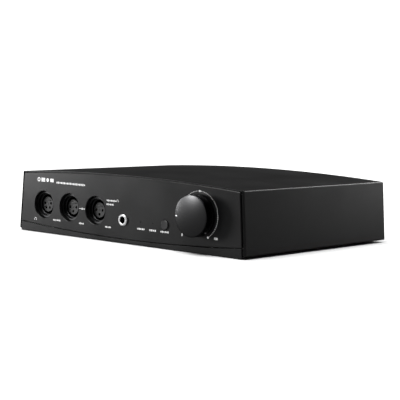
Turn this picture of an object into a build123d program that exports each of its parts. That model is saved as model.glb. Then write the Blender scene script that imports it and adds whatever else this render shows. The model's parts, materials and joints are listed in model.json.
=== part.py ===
from build123d import *
import math
import os

os.makedirs("parts", exist_ok=True)

# A desktop balanced headphone amplifier, in millimetres.
# X runs to the right seen from the front, Y to the back, Z up; the feet stand on Z = 0
# and the origin is the middle of the whole footprint, knob and rear sockets included.

# Casing
case_width = 290.0  # across the bottom edges
case_top_width = 281.4  # across the shoulders, because the sides lean in
shoulder_height = 57.9  # heights are over the trim's lower edge
crown_height = 62.6  # middle of the arched top
case_depth = 213.7
side_wall = 3.6
top_wall = 3.0
case_corner = 1.6  # rounding along the casing's long edges
edge_break = 0.5  # small chamfer on visible edges
foot_height = 2.2
foot_radius = 8.0
trim_drop = 1.6  # trim's lower edge under the casing's bottom
plate_thickness = 2.0  # base and rear plates
board_thickness = 1.6  # circuit boards

# Front panel
panel_proud = 0.5  # panel face in front of the casing's rim
panel_plate = 2.2  # thickness at the edges
panel_depth = 4.5  # thickness with the raised back, inside the casing's mouth
panel_side_inset = 3.3  # panel's ends in from the casing's sides
panel_top_drop = 1.15  # panel's top edge under the casing's top surface
panel_corner = 1.4
rim_lip = 0.45  # casing's thin front edge over the shadow gap
rim_side_lip = 1.6  # and beside it
rim_chamfer = 1.5  # broad chamfer on the casing's front side edges
rim_rebate = 3.0  # depth of the shadow gap round the panel
trim_rebate = 0.8  # and beside the trim
seam_middle = 3.5  # curved seam over the lower trim, at the middle
seam_end = 9.7  # and at the panel's ends
seam_half_gap = 0.2
trim_corner = 1.0
bracket_thickness = 2.0

# Front controls and sockets: places across the panel
socket_pitch = 35.75
socket_last = -36.95  # rightmost socket's place
socket_height = 27.2
socket_hole = 13.3  # radius of a socket's hole in the panel
plug_shell_bore = 9.7
insert_radius = 7.4
insert_recess = 5.7  # insert's face behind the panel's face
contact_circle = 4.05
control_height = 21.3
control_pitch = 14.9
control_first = 22.4
light_pipe_radius = 0.75
bushing_hole = 4.6  # for the jack's sleeve and the volume control's neck
button_radius = 4.2
button_proud = 1.0
button_travel = 0.5
sleeve_radius = 5.2  # jack's bright ring
sleeve_bore = 3.25
sleeve_proud = 1.6

# Volume control
knob_x = 92.4
knob_height = 33.25
knob_radius = 18.6
knob_length = 12.5  # front face in front of the panel's face
knob_gap = 0.8  # knob's back off the panel
knob_dish = 0.25  # flat face behind the rim
shaft_radius = 3.0
shaft_play = 0.05
pointer_angle = -93.0  # rest position, clockwise from straight up

# Rear
rear_reach = 9.0  # phono sockets behind the casing's rim
rear_recess = 1.0  # rear plate inside the casing's rim
phono_radius = 4.15

# Screws
screw_radius = 1.45  # M3 shank
screw_hole = 1.5
pan_head_radius = 2.7
pan_head_height = 1.8
head_socket = 1.1  # hexagon in a small screw's head

# Places worked out from the sizes above
front_y = -(knob_length + panel_proud + case_depth + rear_reach) / 2
panel_face_y = front_y + knob_length
case_front_y = panel_face_y + panel_proud
case_rear_y = case_front_y + case_depth
panel_back_y = panel_face_y + panel_depth
plate_back_y = panel_face_y + panel_plate
bracket_back_y = panel_back_y + bracket_thickness
rear_face_y = case_rear_y - rear_recess
plate_z = foot_height  # underside of the casing and the base plate
base_z = plate_z - trim_drop  # trim's lower edge
floor_z = plate_z + plate_thickness  # top of the base plate
bracket_back = bracket_back_y - panel_face_y  # depths behind the panel's face
xlr4_x = socket_last - 2 * socket_pitch
left_xlr_x = socket_last - socket_pitch
right_xlr_x = socket_last
socket_z = base_z + socket_height
control_z = base_z + control_height
led_places = (control_first, control_first + control_pitch)
button_x = control_first + 2 * control_pitch
knob_z = base_z + knob_height


def save(piece, name):
    piece.label = name
    export_step(piece, f"parts/{name}.step")


def half_width(height):
    # half the casing's width at a height
    return case_width / 2 - (case_width - case_top_width) / 2 * height / shoulder_height


def facing(y):
    # upright plane at a given Y, seen from the front; a positive extrude comes forwards
    return Plane.XZ.offset(-y)


def arched_face(side_inset, top_inset, bottom):
    # the casing's cross-section, moved inwards, from a given height
    low = half_width(bottom) - side_inset
    high = half_width(shoulder_height) - side_inset
    shoulder = base_z + shoulder_height - top_inset
    crown = base_z + crown_height - top_inset
    with BuildLine() as outline:
        Polyline((high, shoulder), (low, base_z + bottom), (-low, base_z + bottom), (-high, shoulder))
        ThreePointArc((-high, shoulder), (0, crown), (high, shoulder))
    return make_face(outline.edges(), mode=Mode.PRIVATE)


def turned(profile, x, y, z, mode=Mode.ADD):
    # closed profile of (radius, distance back from y) points, turned about a front-to-back axis
    with BuildSketch(Plane((x, y, z))) as section:
        with BuildLine():
            Polyline(*profile, close=True)
        make_face()
    revolve(section.sketch, axis=Axis((x, y, z), (0, 1, 0)), mode=mode)


def rod(radius, x, z, y_front, y_back, mode=Mode.ADD):
    # round bar or hole along Y
    with BuildSketch(facing(y_back)) as section:
        with Locations((x, z)):
            Circle(radius)
    extrude(section.sketch, amount=y_back - y_front, mode=mode)


def block(width, height, x, z, y_front, y_back, mode=Mode.ADD):
    # square-cornered block along Y, centred on x and z
    with BuildSketch(facing(y_back)) as section:
        with Locations((x, z)):
            Rectangle(width, height)
    extrude(section.sketch, amount=y_back - y_front, mode=mode)


def post(radius, x, y, z_low, z_high, mode=Mode.ADD):
    # round bar or hole along Z
    with BuildSketch(Plane.XY.offset(z_low)) as section:
        with Locations((x, y)):
            Circle(radius)
    extrude(section.sketch, amount=z_high - z_low, mode=mode)


# Casing: one arched cover with leaning sides, screw channels inside and lips for the base
channel_radius = 3.6
channel_heights = (12.0, 50.0)
channels = []
for height in channel_heights:
    channel_x = half_width(height) - side_wall - 3.1
    channels += [(-channel_x, base_z + height), (channel_x, base_z + height)]
lip_width = 10.0
lip_thickness = 3.0
lip_z = floor_z + 0.2
lip_x = half_width(trim_drop) - side_wall - lip_width / 2
lean = (half_width(0) - half_width(shoulder_height)) / shoulder_height

with BuildPart() as casing:
    with BuildSketch(facing(case_rear_y)) as section:
        add(arched_face(0, 0, trim_drop))
        fillet(section.vertices(), case_corner)
        add(arched_face(side_wall, top_wall, 0), mode=Mode.SUBTRACT)
        for side in (-1, 1):
            with Locations((side * lip_x, lip_z + lip_thickness / 2)):
                Rectangle(lip_width + 1, lip_thickness)
        with Locations(*channels):
            Circle(channel_radius)
            Circle(screw_hole, mode=Mode.SUBTRACT)
    extrude(section.sketch, amount=case_depth)
    for depth, low in ((rim_rebate, seam_end - 0.8), (trim_rebate, 0)):
        with BuildSketch(facing(case_front_y + depth)) as rebate:
            add(arched_face(rim_side_lip, rim_lip, low))
        extrude(rebate.sketch, amount=depth + 1, mode=Mode.SUBTRACT)
    for side in (-1, 1):
        corner_x = side * half_width(0)
        with BuildSketch(Plane.XY.offset(base_z)) as wedge:
            with BuildLine():
                Polyline(
                    (corner_x - side * (rim_chamfer + 1), case_front_y - 1),
                    (corner_x + side, case_front_y - 1),
                    (corner_x + side, case_front_y + rim_chamfer + 1),
                    close=True,
                )
            make_face()
        extrude(wedge.sketch, amount=crown_height + 5, dir=(-side * lean, 0, 1), mode=Mode.SUBTRACT)
    mouth_y = bracket_back_y + 0.5
    with BuildSketch(facing(mouth_y)) as mouth:
        add(arched_face(side_wall, top_wall, 0))
    extrude(mouth.sketch, amount=mouth_y - case_front_y + 1, mode=Mode.SUBTRACT)
    with BuildSketch(facing(case_rear_y + 1)) as rear_mouth:
        add(arched_face(side_wall, top_wall, trim_drop + plate_thickness))
    extrude(rear_mouth.sketch, amount=1 + rear_recess + plate_thickness, mode=Mode.SUBTRACT)
    base_screw_x = lip_x - 1.0
    base_screw_ys = [case_front_y + 16 + i * (case_depth - 32) / 3 for i in range(4)]
    for y in base_screw_ys:
        for side in (-1, 1):
            post(screw_hole, side * base_screw_x, y, plate_z, lip_z + lip_thickness + 1, Mode.SUBTRACT)
save(casing.part, "casing")

# Base plate, screwed up into the casing's lips
plate_half = half_width(trim_drop) - side_wall - 0.4
plate_ends = (plate_back_y, case_rear_y - 0.5)  # the trim is bonded to the front one
foot_x = 116.0
foot_places = {
    "foot_front_left": (-foot_x, case_front_y + 26),
    "foot_front_right": (foot_x, case_front_y + 26),
    "foot_rear_left": (-foot_x, case_rear_y - 26),
    "foot_rear_right": (foot_x, case_rear_y - 26),
}
board_x = (-128.0, 40.0)
board_y = (-66.0, 74.0)
standoff_places = [(x, y) for x in (-122.0, -44.0, 34.0) for y in (-60.0, 68.0)]
coil_x = 88.0
coil_y = 6.0
coil_bolt_radius = 3.0

with BuildPart() as base_plate:
    with BuildSketch(Plane.XY.offset(plate_z)) as section:
        with Locations((0, sum(plate_ends) / 2)):
            Rectangle(2 * plate_half, plate_ends[1] - plate_ends[0])
    extrude(section.sketch, amount=plate_thickness)
    for y in base_screw_ys:
        for side in (-1, 1):
            with Locations(Plane((side * base_screw_x, y, plate_z), z_dir=(0, 0, -1))):
                CounterSinkHole(screw_hole, 3.0, depth=plate_thickness)
    for x, y in list(foot_places.values()) + standoff_places:
        post(screw_hole, x, y, plate_z - 1, floor_z + 1, Mode.SUBTRACT)
    post(coil_bolt_radius + shaft_play, coil_x, coil_y, plate_z - 1, floor_z + 1, Mode.SUBTRACT)
save(base_plate.part, "base_plate")

with BuildPart() as base_screws:
    for y in base_screw_ys:
        for side in (-1, 1):
            with BuildSketch(Plane.XZ.offset(-y)) as section:
                with BuildLine():
                    x = side * base_screw_x
                    Polyline(
                        (x, plate_z),
                        (x + 2.8, plate_z),
                        (x + screw_radius, plate_z + 1.35),
                        (x + screw_radius, lip_z + lip_thickness + 1.5),
                        (x, lip_z + lip_thickness + 1.5),
                        close=True,
                    )
                make_face()
            revolve(section.sketch, axis=Axis((x, y, plate_z), (0, 0, 1)))
            with BuildSketch(Plane.XY.offset(plate_z)) as slot:
                with Locations((x, y)):
                    RegularPolygon(head_socket, 6)
            extrude(slot.sketch, amount=0.8, mode=Mode.SUBTRACT)
save(base_screws.part, "base_screws")

# Feet: rubber discs, each held by a screw in its middle
foot_recess = 3.4
foot_head = (0.2, 1.2)  # screw head's ends over the floor
for name, (x, y) in foot_places.items():
    with BuildPart() as foot:
        post(foot_radius, x, y, 0, foot_height)
        chamfer(foot.edges().group_by(Axis.Z)[0], 0.6)
        post(foot_recess, x, y, -1, foot_head[1], Mode.SUBTRACT)
        post(screw_hole, x, y, 0, foot_height + 1, Mode.SUBTRACT)
    save(foot.part, name)

with BuildPart() as foot_screws:
    for x, y in foot_places.values():
        post(pan_head_radius, x, y, *foot_head)
        post(screw_radius, x, y, foot_head[1], floor_z + 3)
        with BuildSketch(Plane.XY.offset(foot_head[0])) as slot:
            with Locations((x, y)):
                RegularPolygon(head_socket, 6)
        extrude(slot.sketch, amount=0.6, mode=Mode.SUBTRACT)
save(foot_screws.part, "foot_screws")


# Front panel: thick plate under the arched rim, cut away below along a shallow curve
def panel_outline(side_inset, lower):
    # outline of the panel, or with lower=True of the trim below the curved seam
    top = arched_face(side_inset, panel_top_drop, 0)
    ends = half_width(0) + 5
    gap = -seam_half_gap if lower else seam_half_gap
    with BuildLine() as seam:
        arc = ThreePointArc(
            (-ends, base_z + seam_end + gap),
            (0, base_z + seam_middle + gap),
            (ends, base_z + seam_end + gap),
        )
        Polyline(arc @ 1, (ends, base_z - 5), (-ends, base_z - 5), arc @ 0)
    below = make_face(seam.edges(), mode=Mode.PRIVATE)
    return top & below if lower else top - below


panel_holes = [(socket_hole, x, socket_z) for x in (xlr4_x, left_xlr_x, right_xlr_x)]
panel_holes += [(bushing_hole, 0, control_z), (bushing_hole, knob_x, knob_z)]
panel_holes += [(button_radius + 0.3, button_x, control_z)]
panel_screw_places = [(-134 * s, base_z + h) for s in (-1, 1) for h in (24.0, 38.0)]
panel_screw_places += [(20.0, base_z + 46.0), (-88.0, base_z + 48.0)]

with BuildPart() as front_panel:
    with BuildSketch(facing(plate_back_y)) as section:
        add(panel_outline(panel_side_inset, False))
        fillet(section.vertices().sort_by(Axis.Y)[-2:], panel_corner)
    extrude(section.sketch, amount=panel_plate)
    with BuildSketch(facing(panel_back_y)) as section:
        add(arched_face(side_wall + 0.8, top_wall + 0.8, 12))
    extrude(section.sketch, amount=panel_depth - panel_plate)
    for radius, x, z in panel_holes:
        rod(radius, x, z, panel_face_y - 1, panel_back_y + 1, Mode.SUBTRACT)
    for x in led_places:
        rod(light_pipe_radius + 0.05, x, control_z, panel_face_y - 1, panel_back_y + 1, Mode.SUBTRACT)
    for x, z in panel_screw_places:
        rod(screw_hole, x, z, panel_face_y + 1.5, panel_back_y + 1, Mode.SUBTRACT)
    face = front_panel.faces().sort_by(Axis.Y)[0]
    chamfer(face.outer_wire().edges(), edge_break)
    face = front_panel.faces().sort_by(Axis.Y)[0]
    chamfer(face.inner_wires().edges().filter_by(lambda e: e.radius > 4), 0.3)
save(front_panel.part, "front_panel")

with BuildPart() as front_trim:
    with BuildSketch(facing(plate_back_y)) as section:
        add(panel_outline(side_wall + 0.05, True))
        fillet(section.vertices().group_by(Axis.Y)[0], trim_corner)
    extrude(section.sketch, amount=panel_plate)
    face = front_trim.faces().sort_by(Axis.Y)[0]
    chamfer(face.edges(), 0.35)
save(front_trim.part, "front_trim")

# Bracket: steel plate behind the panel, screwed to the casing's channels
with BuildPart() as front_bracket:
    with BuildSketch(facing(bracket_back_y)) as section:
        add(arched_face(side_wall + 0.3, top_wall + 0.3, 6))
    extrude(section.sketch, amount=bracket_thickness)
    for radius, x, z in panel_holes:
        rod(radius, x, z, panel_back_y - 1, bracket_back_y + 1, Mode.SUBTRACT)
    for x in led_places:
        rod(light_pipe_radius + 0.4, x, control_z, panel_back_y - 1, bracket_back_y + 1, Mode.SUBTRACT)
    for x, z in panel_screw_places + channels:
        rod(screw_hole + 0.1, x, z, panel_back_y - 1, bracket_back_y + 1, Mode.SUBTRACT)
save(front_bracket.part, "front_bracket")

with BuildPart() as panel_screws:
    for x, z in panel_screw_places:
        rod(screw_radius, x, z, panel_face_y + 2, bracket_back_y)
        rod(pan_head_radius, x, z, bracket_back_y, bracket_back_y + pan_head_height)
save(panel_screws.part, "panel_screws")

with BuildPart() as bracket_screws:
    for x, z in channels:
        rod(screw_radius, x, z, panel_back_y + 0.05, bracket_back_y + 9)
save(bracket_screws.part, "bracket_screws")

# Round locking sockets: a turned metal shell, a moulded insert and its contacts
shell_length = 24.0
shell_ledge = 11.1  # radius of the mouth inside the shell's front ring
shell_profile = [
    (shell_ledge, 3.1),
    (12.6, 3.1),
    (12.9, 3.4),
    (12.9, bracket_back + 0.2),
    (15.4, bracket_back + 0.2),
    (15.4, bracket_back + 2.2),
    (12.2, bracket_back + 2.2),
    (12.2, shell_length),
    (plug_shell_bore, shell_length),
    (plug_shell_bore, 5.9),
    (plug_shell_bore + 0.3, 5.6),
    (shell_ledge, 5.6),
]
insert_profile = [
    (0, insert_recess),
    (insert_radius - 0.4, insert_recess),
    (insert_radius, insert_recess + 0.4),
    (insert_radius, 20.5),
    (plug_shell_bore, 20.5),
    (plug_shell_bore, shell_length),
    (0, shell_length),
]
three_pins = (180.0, 0.0, 270.0)
four_pins = (165.0, 15.0, 232.0, 308.0)
contact_hole = 1.35


def pin_places(angles, x, z):
    # contact centres round a socket's axis
    return [
        (x + contact_circle * math.cos(math.radians(a)), z + contact_circle * math.sin(math.radians(a)))
        for a in angles
    ]


front_sockets = {
    "xlr4": (xlr4_x, four_pins),
    "left_xlr": (left_xlr_x, three_pins),
    "right_xlr": (right_xlr_x, three_pins),
}
for name, (x, angles) in front_sockets.items():
    with BuildPart() as shell:
        turned(shell_profile, x, panel_face_y, socket_z)
    save(shell.part, f"{name}_shell")
    with BuildPart() as insert:
        turned(insert_profile, x, panel_face_y, socket_z)
        for pin_x, pin_z in pin_places(angles, x, socket_z):
            rod(contact_hole, pin_x, pin_z, panel_face_y, panel_face_y + shell_length + 1, Mode.SUBTRACT)
        insert_face_y = panel_face_y + insert_recess
        block(8.4, 0.5, x, socket_z + 3.9, insert_face_y - 1, insert_face_y + 0.6, Mode.SUBTRACT)
        rod(0.7, x, socket_z, insert_face_y - 1, insert_face_y + 0.3, Mode.SUBTRACT)
    save(insert.part, f"{name}_insert")

with BuildPart() as front_xlr_contacts:
    for x, angles in front_sockets.values():
        for pin_x, pin_z in pin_places(angles, x, socket_z):
            rod(contact_hole - 0.05, pin_x, pin_z, panel_face_y + 7.5, panel_face_y + shell_length + 4)
            rod(0.9, pin_x, pin_z, panel_face_y + 6, panel_face_y + 19, Mode.SUBTRACT)
save(front_xlr_contacts.part, "front_xlr_contacts")

# Headphone jack: bright sleeve through the panel, moulded body behind it
sleeve_back = 9.5
sleeve_neck = 4.5
jack_width = 15.0
jack_height = 14.0
jack_length = 36.0
with BuildPart() as jack_sleeve:
    turned(
        [
            (sleeve_bore, 0.4 - sleeve_proud),
            (sleeve_bore + 0.4, -sleeve_proud),
            (sleeve_radius - 0.6, -sleeve_proud),
            (sleeve_radius, 0.6 - sleeve_proud),
            (sleeve_radius, -0.02),
            (sleeve_neck, -0.02),
            (sleeve_neck, sleeve_back),
            (sleeve_bore, sleeve_back),
        ],
        0,
        panel_face_y,
        control_z,
    )
save(jack_sleeve.part, "jack_sleeve")

jack_front_y = panel_face_y + bracket_back + 0.1
with BuildPart() as jack_body:
    block(jack_width, jack_height, 0, control_z, jack_front_y, panel_face_y + jack_length)
    rod(sleeve_neck + 0.05, 0, control_z, jack_front_y - 1, panel_face_y + sleeve_back + 0.1, Mode.SUBTRACT)
    rod(3.5, 0, control_z, jack_front_y, panel_face_y + 34, Mode.SUBTRACT)
    slot_y = (panel_face_y + 12, panel_face_y + jack_length + 1)
    for side in (-1, 1):
        block(3.0, 2.6, 0, control_z + side * 4.4, *slot_y, Mode.SUBTRACT)
save(jack_body.part, "jack_body")

with BuildPart() as jack_contacts:
    for side in (-1, 1):
        block(2.6, 0.4, 0, control_z + side * 5.0, panel_face_y + 14, panel_face_y + jack_length + 3)
save(jack_contacts.part, "jack_contacts")

# Indicators: clear light pipes from the panel's face to small lamps on the control board
board_front = 15.0
for name, x in zip(("input_light_pipe", "gain_light_pipe"), led_places):
    with BuildPart() as pipe:
        rod(light_pipe_radius, x, control_z, panel_face_y + 0.25, panel_face_y + board_front - 2.4)
    save(pipe.part, name)

with BuildPart() as indicator_leds:
    for x in led_places:
        block(3.2, 1.6, x, control_z, panel_face_y + board_front - 2.2, panel_face_y + board_front)
save(indicator_leds.part, "indicator_leds")

# Select button: short round cap that slides through the panel onto a switch
switch_front = board_front - 4.0
with BuildPart() as select_button:
    turned(
        [
            (0, -button_proud),
            (button_radius - 0.35, -button_proud),
            (button_radius, 0.35 - button_proud),
            (button_radius, bracket_back + 0.3),
            (5.2, bracket_back + 0.3),
            (5.2, bracket_back + 1.3),
            (1.4, bracket_back + 1.3),
            (1.4, switch_front - button_travel - 0.2),
            (0, switch_front - button_travel - 0.2),
        ],
        button_x,
        panel_face_y,
        control_z,
    )
save(select_button.part, "select_button")

with BuildPart() as tact_switch:
    block(6.0, 6.0, button_x, control_z, panel_face_y + switch_front, panel_face_y + board_front)
save(tact_switch.part, "tact_switch")

control_board_width = 52.0
control_board_height = 30.0
control_board_x = 36.0
with BuildPart() as control_board:
    block(
        control_board_width,
        control_board_height,
        control_board_x,
        control_z + 2,
        panel_face_y + board_front,
        panel_face_y + board_front + board_thickness,
    )
save(control_board.part, "control_board")

# Ribbon lead: bent flat cable from the control board down to the main board
board_z = floor_z + 8.0
board_top = board_z + board_thickness
ribbon_thickness = 0.9
ribbon_width = 20.0
ribbon_x = 20.0
with BuildPart() as ribbon_lead:
    start_y = panel_face_y + board_front + board_thickness
    low_z = board_top + ribbon_thickness / 2
    with BuildSketch(Plane((ribbon_x - ribbon_width / 2, 0, 0), x_dir=(0, 1, 0), z_dir=(1, 0, 0))) as section:
        with BuildLine():
            FilletPolyline(
                (start_y, control_z + 6),
                (start_y + 10, control_z + 6),
                (board_y[0] - 4, low_z + 4),
                (board_y[0] + 3, low_z),
                (board_y[0] + 8, low_z),
                radius=3,
            )
        trace(line_width=ribbon_thickness)
    extrude(section.sketch, amount=ribbon_width)
save(ribbon_lead.part, "ribbon_lead")

# Volume control: a sealed potentiometer, its shaft and nut, and a turned knob
pot_front = bracket_back + 0.1
pot_width = 26.0
pot_length = 19.0
with BuildPart() as pot_body:
    rod(4.5, knob_x, knob_z, panel_face_y - 3.4, panel_face_y + pot_front)
    pot_y = panel_face_y + pot_front
    block(pot_width, pot_width, knob_x, knob_z, pot_y, pot_y + pot_length)
    rod(shaft_radius + shaft_play, knob_x, knob_z, front_y, panel_face_y + 12, Mode.SUBTRACT)
save(pot_body.part, "pot_body")

with BuildPart() as pot_nut:
    with BuildSketch(facing(panel_face_y)) as section:
        with Locations((knob_x, knob_z)):
            RegularPolygon(6.5, 6)
            Circle(4.55, mode=Mode.SUBTRACT)
    extrude(section.sketch, amount=2.2)
save(pot_nut.part, "pot_nut")

knob_wall = 2.6
knob_bore = 15.2  # hollow behind the face
knob_boss = 6.0
shaft_fit = shaft_radius + 0.02
grub_radius = 1.45
grub_depth = 6.4  # grub screw's axis in front of the panel's face
with BuildPart() as pot_shaft:
    rod(shaft_radius, knob_x, knob_z, panel_face_y - knob_length + knob_wall + 0.3, panel_face_y + 11.5)
save(pot_shaft.part, "pot_shaft")

pointer_reach = 16.4
pointer_length = 2.4
pointer_width = 1.1
pointer_depth = 0.3
pointer_direction = 90.0 - pointer_angle
pointer_x = knob_x + pointer_reach * math.cos(math.radians(pointer_direction))
pointer_z = knob_z + pointer_reach * math.sin(math.radians(pointer_direction))
with BuildPart() as volume_knob:
    turned(
        [
            (0, knob_dish - knob_length),
            (knob_radius - 1.6, knob_dish - knob_length),
            (knob_radius - 1.35, -knob_length),
            (knob_radius - 0.7, -knob_length),
            (knob_radius, 0.7 - knob_length),
            (knob_radius, -knob_gap - 0.4),
            (knob_radius - 0.4, -knob_gap),
            (knob_bore, -knob_gap),
            (knob_bore, knob_wall - knob_length),
            (knob_boss, knob_wall - knob_length),
            (knob_boss, -4.2),
            (shaft_fit, -4.2),
            (shaft_fit, knob_wall - knob_length + 0.2),
            (0, knob_wall - knob_length + 0.2),
        ],
        knob_x,
        panel_face_y,
        knob_z,
    )
    with BuildSketch(facing(front_y + knob_dish + pointer_depth)) as pocket:
        with Locations(Location((pointer_x, pointer_z), pointer_direction)):
            SlotOverall(pointer_length, pointer_width)
    extrude(pocket.sketch, amount=pointer_depth, mode=Mode.SUBTRACT)
    with Locations(Plane((knob_x, panel_face_y - grub_depth, knob_z), z_dir=(0, 0, 1))):
        low_end = (Align.CENTER, Align.CENTER, Align.MIN)
        Cylinder(grub_radius + shaft_play, 7.0, align=low_end, mode=Mode.SUBTRACT)
save(volume_knob.part, "volume_knob")

with BuildPart() as knob_marker:
    with BuildSketch(facing(front_y + knob_dish + pointer_depth)) as pocket:
        with Locations(Location((pointer_x, pointer_z), pointer_direction)):
            SlotOverall(pointer_length, pointer_width)
    extrude(pocket.sketch, amount=pointer_depth)
save(knob_marker.part, "knob_marker")

with BuildPart() as knob_grub_screw:
    grub_z = (knob_z + shaft_fit, knob_z + 7.0)
    post(grub_radius, knob_x, panel_face_y - grub_depth, *grub_z)
save(knob_grub_screw.part, "knob_grub_screw")

# Rear plate and everything fixed to it
inlet_x = 100.0
inlet_z = base_z + 29.0
rocker_x = 62.0
rocker_z = base_z + 29.0
phono_places = [(x, base_z + h) for x in (8.0, 30.0) for h in (18.0, 40.0)]
rear_xlr_places = [(-96.0, base_z + 29.0), (-52.0, base_z + 29.0)]
inlet_width = 30.0
inlet_height = 34.0
inlet_ears = 20.0
inlet_flange = 2.0
inlet_screw_places = [(inlet_x - inlet_ears, inlet_z), (inlet_x + inlet_ears, inlet_z)]
rear_inner_y = rear_face_y - plate_thickness
rear_socket_hole = 12.6
hole_play = 0.3
rocker_body = (15.0, 23.0)  # behind the rear plate
rocker_bezel = (18.0, 26.0)

with BuildPart() as rear_panel:
    with BuildSketch(facing(rear_face_y)) as section:
        add(arched_face(side_wall + 0.15, top_wall + 0.15, trim_drop + plate_thickness + 0.1))
    extrude(section.sketch, amount=plate_thickness)
    for (width, height), x, z in (
        ((inlet_width, inlet_height), inlet_x, inlet_z),
        (rocker_body, rocker_x, rocker_z),
    ):
        block(width + hole_play, height + hole_play, x, z, rear_inner_y - 1, case_rear_y, Mode.SUBTRACT)
    for x, z in phono_places:
        rod(phono_radius + hole_play, x, z, rear_inner_y - 1, case_rear_y, Mode.SUBTRACT)
    for x, z in rear_xlr_places:
        rod(rear_socket_hole, x, z, rear_inner_y - 1, case_rear_y, Mode.SUBTRACT)
    for x, z in channels + inlet_screw_places:
        rod(screw_hole, x, z, rear_inner_y - 1, case_rear_y, Mode.SUBTRACT)
save(rear_panel.part, "rear_panel")

with BuildPart() as rear_screws:
    for x, z in channels + inlet_screw_places:
        seat_y = rear_face_y + (inlet_flange if (x, z) in inlet_screw_places else 0)
        rod(screw_radius, x, z, rear_inner_y - 8, seat_y)
        rod(pan_head_radius, x, z, seat_y, seat_y + pan_head_height)
        with BuildSketch(facing(seat_y + pan_head_height)) as slot:
            with Locations((x, z)):
                RegularPolygon(1.3, 6)
        extrude(slot.sketch, amount=1.0, mode=Mode.SUBTRACT)
save(rear_screws.part, "rear_screws")

# Mains inlet with its fuse drawer below the socket
inlet_depth = 26.0
socket_mouth_z = inlet_z + 5.0
mouth_width = 24.4
mouth_height = 16.2
mouth_depth = 17.0
drawer_z = inlet_z - 10.6
drawer_width = 22.0
drawer_height = 8.0
drawer_depth = 23.0
drawer_play = 0.25
inlet_back_y = rear_face_y - inlet_depth
flange_y = rear_face_y + inlet_flange
pins = ((-7.0, socket_mouth_z - 2.0), (7.0, socket_mouth_z - 2.0), (0.0, socket_mouth_z + 2.0))

with BuildPart() as inlet_body:
    block(inlet_width, inlet_height, inlet_x, inlet_z, inlet_back_y, flange_y)
    with BuildSketch(facing(flange_y)) as section:
        with Locations((inlet_x, inlet_z)):
            RectangleRounded(2 * inlet_ears + 9, inlet_height + 2, 4)
    extrude(section.sketch, amount=inlet_flange)
    with BuildSketch(facing(flange_y + 1)) as mouth:
        with Locations((inlet_x, socket_mouth_z)):
            Rectangle(mouth_width, mouth_height)
        chamfer(mouth.vertices().group_by(Axis.Y)[-1], 4.5)
    extrude(mouth.sketch, amount=mouth_depth + 1, mode=Mode.SUBTRACT)
    block(
        drawer_width + 2 * drawer_play,
        drawer_height + 2 * drawer_play,
        inlet_x,
        drawer_z,
        flange_y - drawer_depth - 0.3,
        flange_y + 1,
        Mode.SUBTRACT,
    )
    for side in (-1, 1):
        rod(screw_hole, inlet_x + side * inlet_ears, inlet_z, rear_face_y - 1, flange_y + 1, Mode.SUBTRACT)
    for x, z in pins:
        block(2.0, 4.0, inlet_x + x, z, inlet_back_y - 1, flange_y, Mode.SUBTRACT)
save(inlet_body.part, "inlet_body")

with BuildPart() as inlet_pins:
    for x, z in pins:
        block(2.0, 4.0, inlet_x + x, z, inlet_back_y - 7, flange_y - 3.5)
save(inlet_pins.part, "inlet_pins")

fuse_radius = 2.4
with BuildPart() as fuse_drawer:
    block(drawer_width, drawer_height, inlet_x, drawer_z, flange_y - drawer_depth, flange_y + 0.6)
    block(14.0, 5.6, inlet_x, drawer_z + 2.0, flange_y - drawer_depth + 1, flange_y - 1.5, Mode.SUBTRACT)
    block(8.0, 1.0, inlet_x, drawer_z - 2.6, flange_y + 0.1, flange_y + 2, Mode.SUBTRACT)
save(fuse_drawer.part, "fuse_drawer")

with BuildPart() as fuse:
    rod(fuse_radius, inlet_x, drawer_z + 1.65, flange_y - drawer_depth + 1.2, flange_y - 1.8)
save(fuse.part, "fuse")

# Power switch: a rocker in a moulded frame
rocker_width = 12.0
rocker_tilt = 10.0  # each way from level
rocker_pivot = 1.0  # pivot line behind the rear plate's face
frame_reach = 1.6
rocker_well = 9.0  # depth of the frame's opening
rocker_outline = [
    (-4.0, -3.0),
    (-2.0, -8.6),
    (4.4, -8.6),
    (3.2, 0),
    (4.4, 8.6),
    (-2.0, 8.6),
    (-4.0, 3.0),
]
with BuildPart() as rocker_frame:
    block(*rocker_body, rocker_x, rocker_z, rear_face_y - 18, rear_face_y)
    with BuildSketch(facing(rear_face_y + frame_reach)) as section:
        with Locations((rocker_x, rocker_z)):
            RectangleRounded(*rocker_bezel, 1.5)
    extrude(section.sketch, amount=frame_reach)
    well_y = (rear_face_y - rocker_well, rear_face_y + frame_reach + 1)
    block(rocker_width + 0.8, 20.4, rocker_x, rocker_z, *well_y, Mode.SUBTRACT)
save(rocker_frame.part, "rocker_frame")

with BuildPart() as power_rocker:
    tilt = math.radians(rocker_tilt)
    tilted = Plane(
        (rocker_x - rocker_width / 2, rear_face_y - rocker_pivot, rocker_z),
        x_dir=(0, math.cos(tilt), math.sin(tilt)),
        z_dir=(1, 0, 0),
    )
    with BuildSketch(tilted) as section:
        with BuildLine():
            Polyline(*rocker_outline, close=True)
        make_face()
    extrude(section.sketch, amount=rocker_width)
save(power_rocker.part, "power_rocker")

# Balanced line sockets at the back: shells, inserts and contacts
rear_shell_depth = 20.0
rear_insert_recess = 3.0
rear_shell_profile = [
    (plug_shell_bore, 2.0),
    (10.3, 2.0),
    (14.4, 2.0),
    (14.4, 0.0),
    (12.3, 0.0),
    (12.3, -rear_shell_depth),
    (plug_shell_bore, -rear_shell_depth),
]
rear_insert_profile = [
    (0, 0.0),
    (insert_radius, 0.0),
    (insert_radius, -16.5),
    (plug_shell_bore, -16.5),
    (plug_shell_bore, -rear_shell_depth),
    (0, -rear_shell_depth),
]
with BuildPart() as rear_xlr_shells:
    for x, z in rear_xlr_places:
        turned(rear_shell_profile, x, rear_face_y, z)
save(rear_xlr_shells.part, "rear_xlr_shells")

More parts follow.
